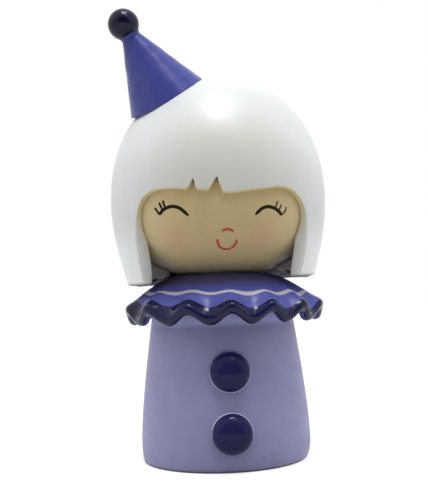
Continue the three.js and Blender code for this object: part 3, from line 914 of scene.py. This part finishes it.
def dents(points):
    """Uneven hand-finished surface: waves from -1 to 1, a few millimetres long."""
    x, y, z = np.moveaxis(points * DENT_WAVES + DENT_SHIFTS, -1, 0)
    return (np.sin(x) * np.sin(y) * np.sin(z))[..., None]


def hat_wall(turn):
    """The rings that end the hat's wall: the one at the tip, and the rim on the hair."""
    wobble = HAT_EDGE_WOBBLE * waves(turn, HAT_EDGE_WAVES)
    flare = (HAT_RADIUS - HAT_TOP_RADIUS) / HAT_HEIGHT
    top = from_hat(around_axis(HAT_TOP_RADIUS + 0 * turn, turn, HAT_HEIGHT))
    foot = from_hat(around_axis(HAT_RADIUS + flare * HAT_HEIGHT / 2 + 0 * turn, turn, -HAT_HEIGHT / 2))
    down = unit(foot - top)
    aside = smoothstep((-np.sin(turn) - HAT_LIFT_START) / (1 - HAT_LIFT_START))
    reach = way_to_hair(top, down, HAT_HEIGHT * 2, SEAM) - np.abs(wobble) - HAT_RIM_LIFT * aside
    return top, top + down * reach[:, None]


def hat_cone():
    turn = np.linspace(0, 2 * math.pi, ROUND_SIDES, endpoint=False)
    top, rim = hat_wall(turn)
    tip = hat_pivot + hat_axis * (hat_seat + HAT_HEIGHT)
    across = (rim - hat_pivot) - hat_axis * ((rim - hat_pivot) @ hat_axis)[:, None]
    rows = []
    for share in np.linspace(0, 1, HAT_SEAT_ROWS, endpoint=False):
        start = tip + across * share
        drop = way_to_hair(start, -hat_axis, HAT_HEIGHT * 2, SEAM)
        rows.append(start - hat_axis * drop[:, None])
    for share in np.linspace(0, 1, HAT_WALL_ROWS):
        ring = rim + (top - rim) * share
        depth = HAT_DENT * math.sin(math.pi * share)
        rows.append(ring + unit(rim - rim.mean(axis=0)) * depth * dents(ring))
    for more, lift in HAT_TIP_RINGS:
        rows.append(from_hat(around_axis(HAT_TOP_RADIUS + more + 0 * turn, turn, HAT_HEIGHT + lift)))
    for radius in np.linspace(HAT_FILLET_RADIUS, 0, HAT_CUP_ROWS):
        cup = bead_level - math.sqrt((BEAD_RADIUS + SEAM) ** 2 - radius**2)
        rows.append(from_hat(around_axis(radius + 0 * turn, turn, cup)))
    return carve(mesh_object("hat_cast", np.array(rows)), hat_pin_bore(), bead_pin_bore())


def bead_pin_bore():
    ends = (HAT_HEIGHT - BEAD_PIN_IN_HAT, bead_level + BEAD_PIN_PAST_MIDDLE)
    return moved(rod(BEAD_PIN_RADIUS + GLUE_GAP, *ends), hat_place)


def hat_bead():
    rows = ball_rows(BEAD_RADIUS)
    rows = rows * (1 + BEAD_DENT / BEAD_RADIUS * dents(rows))
    piece = mesh_object("bead_cast", from_hat(rows + (0, 0, bead_level)))
    return carve(piece, bead_pin_bore())


# Card


def card_path():
    """Middle line of the strip: leaves that run to and fro across the slot, with rounded folds."""
    pitch = PAPER_THICKNESS + LEAF_GAP
    fold = CARD_WIDTH / 2 - PAPER_THICKNESS / 2 - pitch / 2
    path = []
    for leaf in range(CARD_LEAVES):
        way = 1 if leaf % 2 == 0 else -1
        y = (leaf - (CARD_LEAVES - 1) / 2) * pitch
        path += [(-way * fold, y), (way * fold, y)]
        if leaf < CARD_LEAVES - 1:
            for angle in np.linspace(-math.pi / 2, math.pi / 2, FOLD_STEPS)[1:-1]:
                out, over = math.cos(angle) * pitch / 2, math.sin(angle) * pitch / 2
                path.append((way * (fold + out), y + pitch / 2 + over))
    return np.array(path)


def message_card():
    """The folded strip of paper, standing on edge."""
    path = card_path()
    along = unit(np.gradient(path, axis=0))
    side = np.column_stack([-along[:, 1], along[:, 0]]) * PAPER_THICKNESS / 2
    rings = []
    for face, share in ((1, 0), (1, 1), (-1, 1), (-1, 0)):
        level = np.full(len(path), CARD_RECESS + CARD_HEIGHT * share)
        rings.append(np.column_stack([path + side * face, level]))
    rings = np.stack(rings, axis=1)
    return mesh_object("card_strip", capped(rings, rings.mean(axis=1)))


# Materials


def srgb(red, green, blue):
    """A screen colour from 0 to 255 as a linear one."""
    share = np.array([red, green, blue]) / 255
    linear = np.where(share <= 0.04045, share / 12.92, ((share + 0.055) / 1.055) ** 2.4)
    return (*linear, 1.0)


MIX_FACTOR, MIX_A, MIX_B, MIX_RESULT = 0, 6, 7, 2


def feed(tree, socket, value):
    """Links an input to an output, or sets it to a constant."""
    if isinstance(value, bpy.types.NodeSocket):
        tree.links.new(value, socket)
    else:
        socket.default_value = value


def node(tree, kind, inputs=None, **settings):
    made = tree.nodes.new("ShaderNode" + kind)
    for key, value in settings.items():
        setattr(made, key, value)
    for key, value in (inputs or {}).items():
        feed(tree, made.inputs[key], value)
    return made


def blank_material(name):
    material = bpy.data.materials.new(name)
    material.use_nodes = True
    tree = material.node_tree
    return material, tree, tree.nodes["Principled BSDF"]


def noise(tree, place, scale, detail=3.0):
    return node(tree, "TexNoise", {"Vector": place, "Scale": scale, "Detail": detail}).outputs["Fac"]


def ranged(tree, value, low, high, new_low, new_high):
    inputs = {"Value": value, "From Min": low, "From Max": high, "To Min": new_low, "To Max": new_high}
    return node(tree, "MapRange", inputs, interpolation_type="SMOOTHSTEP").outputs["Result"]


def figure(tree, operation, *values):
    return node(tree, "Math", dict(enumerate(values)), operation=operation).outputs["Value"]


def mixed(tree, factor, first, second):
    made = node(tree, "Mix", {MIX_FACTOR: factor, MIX_A: first, MIX_B: second}, data_type="RGBA")
    return made.outputs[MIX_RESULT]


def head_levels(rises):
    return [head_middle + rise for rise in rises]


class Coat:
    """Brushed paint on resin: a slow change of tone, a fine brush relief and an uneven gloss.

    Washes of other colours go over it, each by a share that changes from place to place. Some are real
    paint, and some are painted light and shade.
    """

    def __init__(self, name, tone, shade, roughness, streak=(1, 1, 1), relief=0.12, shine=0.3):
        self.material, self.tree, self.surface = blank_material(name)
        tree = self.tree
        self.place = node(tree, "TexCoord").outputs["Object"]
        stretched = node(tree, "Mapping", {"Vector": self.place, "Scale": streak}).outputs["Vector"]
        self.colour = tone
        self.wash(ranged(tree, noise(tree, stretched, CLOUD_SCALE), *NOISE_SPAN, 0, 1), shade)
        brush = noise(tree, stretched, BRUSH_SCALE, BRUSH_DETAIL)
        bump = node(tree, "Bump", {"Strength": relief, "Distance": RELIEF_DEPTH * MM, "Height": brush})
        self.give("Normal", bump.outputs["Normal"])
        spread = (roughness + more for more in GLOSS_SPREAD)
        self.give("Roughness", ranged(tree, noise(tree, stretched, GLOSS_SCALE), *NOISE_SPAN, *spread))
        self.give("Specular IOR Level", shine)

    def give(self, name, value):
        feed(self.tree, self.surface.inputs[name], value)

    def wash(self, share, colour):
        self.colour = mixed(self.tree, share, self.colour, colour)
        self.give("Base Color", self.colour)

    def axis(self, name):
        return node(self.tree, "SeparateXYZ", {"Vector": self.place}).outputs[name]

    def from_axis(self):
        """Distance from the doll's upright axis."""
        level = node(self.tree, "VectorMath", {0: self.place, 1: (1, 1, 0)}, operation="MULTIPLY")
        away = node(self.tree, "VectorMath", {0: level.outputs["Vector"]}, operation="LENGTH")
        return away.outputs["Value"]

    def within(self, length, span, near, far):
        """A share that changes over a span of lengths."""
        low, high = span
        return ranged(self.tree, length, low * MM, high * MM, near, far)

    def spot(self, point, reach, strength, squeeze=(1, 1, 1)):
        """The share of a soft round mark about a point, longer along an axis that is squeezed."""
        centre = [v * MM for v in point]
        away = node(self.tree, "VectorMath", {0: self.place, 1: centre}, operation="SUBTRACT")
        away = node(self.tree, "VectorMath", {0: away.outputs["Vector"], 1: squeeze}, operation="MULTIPLY")
        distance = node(self.tree, "VectorMath", {0: away.outputs["Vector"]}, operation="LENGTH")
        return self.within(distance.outputs["Value"], (0, reach), strength, 0)


def lavender_paint():
    """Lavender, paler just under the collar, with two faint smudges and painted shade in front and at the
    foot.
    """
    coat = Coat("lavender_paint", srgb(152, 153, 194), srgb(146, 147, 187), roughness=0.45)
    # Painted shade: the front of the body is darker
    front = [-belly_radius * share for share in BODY_FRONT_SHADE_SHARES]
    coat.wash(coat.within(coat.axis("Y"), front, BODY_FRONT_SHADE_STRENGTH, 0), srgb(136, 138, 177))
    height = coat.axis("Z")
    coat.wash(coat.within(height, PALE_BAND, 0, PALE_STRENGTH), srgb(208, 211, 254))
    for turn, level in SMUDGES:
        centre = around_axis(wall_radius(level), np.radians(turn), level)
        coat.wash(coat.spot(centre, SMUDGE_RADIUS, SMUDGE_STRENGTH, SMUDGE_SQUEEZE), srgb(90, 84, 112))
    # Painted shade: a dark band round the edge of the foot, where it stands on the floor
    low = coat.within(height, FOOT_SHADE_BAND, FOOT_SHADE_STRENGTH, 0)
    outer = coat.within(coat.from_axis(), FOOT_SHADE_RADII, 0, 1)
    coat.wash(figure(coat.tree, "MULTIPLY", low, outer), srgb(62, 58, 82))
    return coat.material


def skin_paint():
    """Light tan with pink cheeks, paler at the temples, painted shade under the chin and the slits, and
    painted reflected light on the jaw.
    """
    coat = Coat("skin_paint", srgb(214, 193, 142), srgb(207, 186, 135), roughness=0.5)
    aside = figure(coat.tree, "ABSOLUTE", coat.axis("X"))
    coat.wash(coat.within(aside, TEMPLE_WIDTHS, 0, TEMPLE_STRENGTH), srgb(232, 213, 166))
    for turn, rise in CHEEKS:
        coat.wash(coat.spot(head_point(turn, rise), CHEEK_RADIUS, CHEEK_STRENGTH), srgb(224, 162, 140))
    # Painted reflected light: paler purple-grey patches on the corners of the jaw, where the hair and the
    # collar shade it
    for turn, rise, wash in JAW_LIGHT_PATCHES:
        coat.wash(coat.spot(head_point(turn, rise), JAW_LIGHT_RADIUS, JAW_LIGHT_STRENGTH), srgb(*wash))
    # Painted shade under the chin
    under = coat.within(coat.axis("Z"), head_levels(CHIN_SHADE_RISES), CHIN_SHADE_STRENGTH, 0)
    coat.wash(under, srgb(184, 174, 172))
    for turn, rise in SLIT_TIPS:
        near = coat.spot(head_point(turn, rise), SLIT_SHADE_RADIUS, SLIT_SHADE_STRENGTH)
        coat.wash(near, srgb(104, 98, 84))
    return coat.material


def hollow_shade(coat, colour):
    """Painted shade: darkens the inside of the hair behind the locks."""
    deep = coat.within(coat.from_axis(), HOLLOW_RADII, 1, 0)
    behind = coat.within(coat.axis("Y"), HOLLOW_BACK, 0, 1)
    below = coat.within(coat.axis("Z"), head_levels((-HOLLOW_DROP, 0)), 1, 0)
    for share in (behind, below):
        deep = figure(coat.tree, "MULTIPLY", deep, share)
    coat.wash(deep, colour)


def fringe_paint():
    """The edge of the hair: skin paint and painted reflected light spill onto it round the forehead, and
    fade down the locks.
    """
    tone = srgb(236, 237, 235)
    coat = Coat("fringe_paint", tone, tone, roughness=0.6, shine=0.05)
    height = coat.axis("Z")
    # Skin paint spilled round the forehead, with painted light reflected from the face
    spill_and_reflection = coat.within(height, head_levels(SPILL_AND_REFLECTION_RISES), *SPILL_AND_REFLECTION_SHARES)
    inside = coat.within(height, head_levels(SLIT_RISES), *SLIT_SHARES)
    coat.wash(figure(coat.tree, "MULTIPLY", spill_and_reflection, inside), srgb(226, 211, 165))
    slope = HAIR_HEM_TILT / 2 / hair_hem_radius
    above = node(coat.tree, "VectorMath", {0: coat.place, 1: (-slope, 0, 1)}, operation="DOT_PRODUCT")
    shade = [hair_hem + HAIR_HEM_TILT / 2 + rise for rise in HEM_SHADE_RISES]
    coat.wash(coat.within(above.outputs["Value"], shade, HEM_SHADE_STRENGTH, 0), srgb(104, 102, 108))
    # Painted shade in the hollow behind the locks, darkest on the hair's edge away from the neck
    outer = coat.within(coat.from_axis(), UNDERSIDE_SHADE_RADII, 0, 1)
    hollow_shade(coat, mixed(coat.tree, outer, srgb(222, 218, 230), srgb(82, 81, 90)))
    return coat.material


def hair_paint():
    """White, with grey nicks. Painted shade: warmer in front, greyer on the crown, dark behind the locks.
    Painted light: paler locks.
    """
    tone, shade = srgb(231, 234, 235), srgb(225, 228, 229)
    coat = Coat("hair_paint", tone, shade, roughness=0.38, streak=HAIR_STREAK, shine=0.55)
    # Painted shade: darker and warmer over the front of the hair
    front = (-hair_radius, -hair_radius * HAIR_FRONT_SHADE_SHARE)
    coat.wash(coat.within(coat.axis("Y"), front, 1, 0), srgb(212, 212, 205))
    height = coat.axis("Z")
    # Painted shade: greyer on the crown
    coat.wash(coat.within(height, head_levels(CROWN_SHADE_RISES), 0, 1), srgb(215, 218, 218))
    # Painted light: the lower locks are paler
    coat.wash(coat.within(height, head_levels(LOCK_LIGHT_RISES), LOCK_LIGHT_STRENGTH, 0), srgb(250, 253, 254))
    outer = hair_outer()[::-1]
    for turn, rise in HAIR_NICKS:
        level = head_middle + rise
        radius = np.interp(level, outer[:, 1], outer[:, 0])
        centre = around_axis(radius, np.radians(turn), level)
        coat.wash(coat.spot(centre, NICK_WIDTH, NICK_STRENGTH, NICK_SQUEEZE), srgb(150, 150, 146))
    # Painted shade in the hollow behind the locks
    hollow_shade(coat, srgb(180, 177, 180))
    return coat.material


def hat_paint():
    return Coat("hat_paint", srgb(67, 74, 150), srgb(62, 69, 142), roughness=0.26, shine=0.24).material


def collar_paint():
    """Blue, dull round the neck, where painted shade darkens it under the head."""
    coat = Coat("collar_paint", srgb(86, 92, 168), srgb(80, 86, 160), roughness=0.28, relief=0.01)
    away = coat.from_axis()
    # Painted shade round the neck, under the head
    coat.wash(coat.within(away, NECK_SHADE_RADII, NECK_SHADE_STRENGTH, 0), srgb(84, 75, 92))
    coat.give("Specular IOR Level", coat.within(away, COLLAR_GLOSS_RADII, 0, COLLAR_SHINE))
    return coat.material


def hem_paint():
    return Coat("hem_paint", srgb(22, 27, 71), srgb(18, 22, 60), roughness=0.12, shine=0.23).material


def line_paint():
    return Coat("line_paint", srgb(192, 193, 204), srgb(176, 177, 191), roughness=0.4).material


def lip_paint_and_highlight():
    """A painted highlight: pale where the two buttons face each other, and lavender elsewhere."""
    coat = Coat("lip_paint_and_highlight", srgb(140, 141, 180), srgb(134, 135, 173), roughness=0.45)
    between = sum(BUTTON_HEIGHTS.values()) / 2
    span = BUTTON_HEIGHTS["button_upper"] - between
    above = figure(coat.tree, "SUBTRACT", coat.axis("Z"), between * MM)
    away = figure(coat.tree, "ABSOLUTE", above)
    pale = coat.within(away, (span - LIP_HIGHLIGHT_FADE, span + LIP_HIGHLIGHT_FADE), LIP_HIGHLIGHT_STRENGTH, 0)
    coat.wash(pale, srgb(200, 201, 236))
    return coat.material


def button_paint():
    tone, shade = srgb(36, 35, 84), srgb(31, 30, 73)
    return Coat("button_paint", tone, shade, roughness=0.15, shine=0.12).material


def bead_paint():
    return Coat("bead_paint", srgb(22, 22, 56), srgb(17, 17, 48), roughness=0.13, shine=0.21).material


def eye_paint():
    return Coat("eye_paint", srgb(30, 20, 12), srgb(22, 14, 10), roughness=0.5, shine=0.12).material


def mouth_paint():
    return Coat("mouth_paint", srgb(208, 88, 66), srgb(196, 78, 58), roughness=0.5, shine=0.2).material


def card_paper():
    tone, shade = srgb(243, 238, 224), srgb(234, 228, 212)
    return Coat("card_paper", tone, shade, roughness=0.8, relief=0.3).material


def peg_wood():
    tone, shade = srgb(206, 172, 122), srgb(184, 148, 98)
    return Coat("peg_wood", tone, shade, roughness=0.65, streak=WOOD_STREAK, relief=0.3).material


def pin_steel():
    coat = Coat("pin_steel", srgb(196, 197, 200), srgb(178, 180, 184), roughness=0.3, streak=STEEL_STREAK)
    coat.give("Metallic", 1)
    return coat.material


# Stage, light and camera


def floor_white():
    """White that keeps the shadow. Its underside is clear, so that the foot can be seen."""
    material, tree, surface = blank_material("floor_white")
    place = node(tree, "TexCoord").outputs["Object"]
    clouds = noise(tree, place, FLOOR_CLOUD_SCALE)
    tint = mixed(tree, clouds, srgb(186, 186, 186), srgb(182, 182, 182))
    path = node(tree, "LightPath").outputs
    seen = path["Is Camera Ray"]
    for other in ("Is Glossy Ray", "Is Transmission Ray"):
        seen = figure(tree, "MAXIMUM", seen, path[other])
    lift = figure(tree, "MULTIPLY", seen, FLOOR_LIFT)
    tree.links.new(tint, surface.inputs["Base Color"])
    surface.inputs["Roughness"].default_value = FLOOR_ROUGHNESS
    surface.inputs["Specular IOR Level"].default_value = 0.0
    surface.inputs["Emission Color"].default_value = (1, 1, 1, 1)
    tree.links.new(lift, surface.inputs["Emission Strength"])
    clear = node(tree, "BsdfTransparent").outputs["BSDF"]
    behind = node(tree, "NewGeometry").outputs["Backfacing"]
    both = node(tree, "MixShader", {0: behind, 1: surface.outputs["BSDF"], 2: clear})
    tree.links.new(both.outputs["Shader"], tree.nodes["Material Output"].inputs["Surface"])
    material.cycles.emission_sampling = "NONE"
    return material


def floor():
    size = FLOOR_HALF_SIZE
    corners = [(-size, -size), (size, -size), (size, size), (-size, size)]
    mesh = bpy.data.meshes.new("floor")
    mesh.from_pydata([(x * MM, y * MM, -FLOOR_DROP * MM) for x, y in corners], [], [(0, 1, 2, 3)])
    mesh.materials.append(floor_white())
    piece = placed("floor", mesh)


def world_light():
    """A light tent: white behind, beside and above the doll, dim in front of it."""
    world = bpy.data.worlds.new("tent")
    world.use_nodes = True
    tree = world.node_tree
    way = node(tree, "SeparateXYZ", {"Vector": node(tree, "TexCoord").outputs["Generated"]}).outputs
    side = ranged(tree, way["Y"], *TENT_SIDE, FRONT_LEVEL, WHITE_LEVEL)
    above = ranged(tree, way["Z"], *TENT_TOP, 0.0, WHITE_LEVEL)
    level = figure(tree, "MAXIMUM", side, above)
    background = tree.nodes["Background"]
    background.inputs["Color"].default_value = (1, 1, 1, 1)
    tree.links.new(level, background.inputs["Strength"])
    bpy.context.scene.world = world


def lamp(name, place, width, depth, power):
    """A soft lamp that looks at the middle of the doll."""
    light = bpy.data.lights.new(name, "AREA")
    light.shape = "RECTANGLE"
    light.size = width * MM
    light.size_y = depth * MM
    light.energy = power
    piece = placed(name, light)
    stand = Vector(place) * MM
    aim = Vector((0, 0, hair_middle * MM)) - stand
    piece.matrix_world = Matrix.Translation(stand) @ aim.to_track_quat("-Z", "Y").to_matrix().to_4x4()


def camera():
    turn = math.radians(CAMERA_TURN)
    heading = math.radians(CAMERA_TURN + CAMERA_SIDE_AIM)
    pitch, roll = math.radians(CAMERA_PITCH), math.radians(CAMERA_ROLL)
    right = Vector((math.cos(heading), math.sin(heading), 0))
    ahead = Vector((-math.sin(heading), math.cos(heading), 0))
    up = Vector((0, 0, 1))
    forward = ahead * math.cos(pitch) + up * math.sin(pitch)
    upward = up * math.cos(pitch) - ahead * math.sin(pitch)
    image_x = right * math.cos(roll) - upward * math.sin(roll)
    image_y = right * math.sin(roll) + upward * math.cos(roll)
    turned = Matrix([image_x, image_y, -forward]).transposed().to_4x4()
    stand = Vector((math.sin(turn) * CAMERA_DISTANCE, -math.cos(turn) * CAMERA_DISTANCE, CAMERA_HEIGHT))
    data = bpy.data.cameras.new("camera")
    data.lens = CAMERA_LENS
    data.clip_start = 1 * MM
    piece = placed("camera", data)
    piece.matrix_world = Matrix.Translation(stand * MM) @ turned
    bpy.context.scene.camera = piece


def build():
    button_paints = [button_paint(), lip_paint_and_highlight()]
    dress(body_casting(), [lavender_paint()], "body_casting")
    dress(collar_ruff(), [collar_paint(), hem_paint(), line_paint()], "collar_ruff")
    dress(head_ball(), [skin_paint()], "head_ball")
    dress(hair_cap(), [hair_paint(), fringe_paint()], "hair_cap")
    dress(hat_cone(), [hat_paint()], "hat_cone")
    dress(hat_bead(), [bead_paint()], "hat_bead")
    for name, height in BUTTON_HEIGHTS.items():
        dress(button_cast(name + "_dome", height), button_paints, name)
    dress(message_card(), [card_paper()], "message_card", "card")
    eye, mouth = eye_paint(), mouth_paint()
    face_paints = {"eye_left": eye, "eye_right": eye, "nose_line": mouth, "mouth_line": mouth}
    for name, strokes in STROKES.items():
        dress(face_mark(name, strokes), [face_paints[name]])
    steel = pin_steel()
    for name, material in (("neck_peg", peg_wood()), ("hat_pin", steel), ("bead_pin", steel)):
        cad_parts[name].material_slots[0].material = material


build()
floor()
world_light()
for name, setting in LAMPS.items():
    lamp(name, *setting)
camera()
bpy.context.scene.view_settings.view_transform = "Standard"
